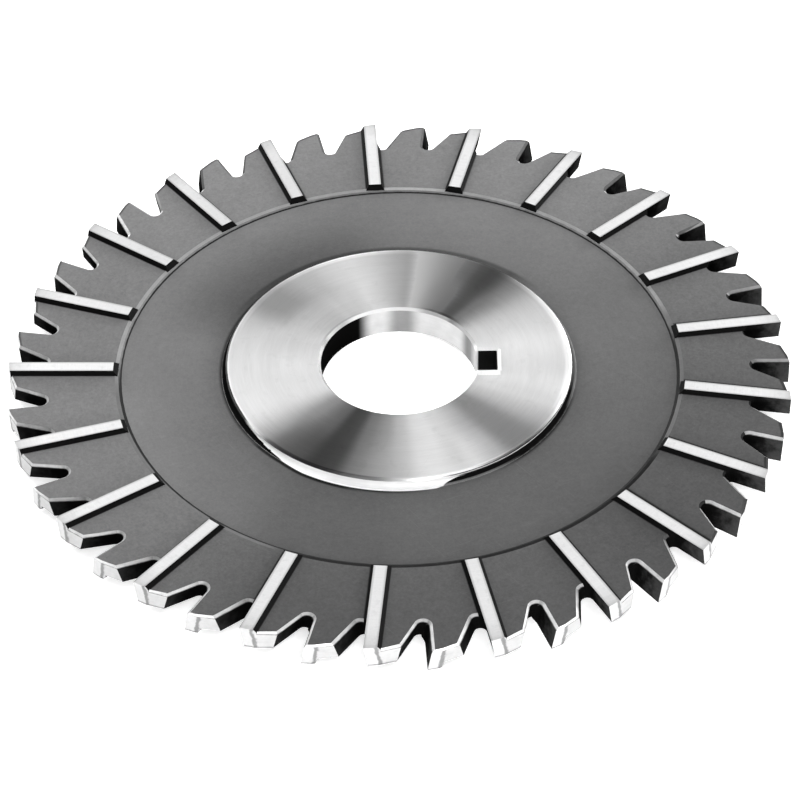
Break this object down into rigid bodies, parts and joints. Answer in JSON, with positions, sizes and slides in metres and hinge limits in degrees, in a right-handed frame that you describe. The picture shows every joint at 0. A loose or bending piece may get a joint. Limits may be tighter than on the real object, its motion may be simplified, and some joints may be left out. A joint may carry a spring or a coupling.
{
  "type": "side milling cutter",
  "caption": "Thin side milling cutter disc with staggered teeth, raised side lands, a recessed web, a ground hub and a keyed arbor bore.",
  "frame": {"origin": "centre of the bore, half way through the thickness", "axes": "+Z along the bore axis; +X towards the keyway"},
  "size_m": [0.127, 0.1268, 0.0054],
  "materials": {
    "tool_steel": "black oxide on web, tooth sides and gullets; ground bright on hub faces, side lands, tooth tips and bore"
  },
  "bodies": {
    "root": {"cutter_body": "tool_steel"}
  },
  "joints": []
}
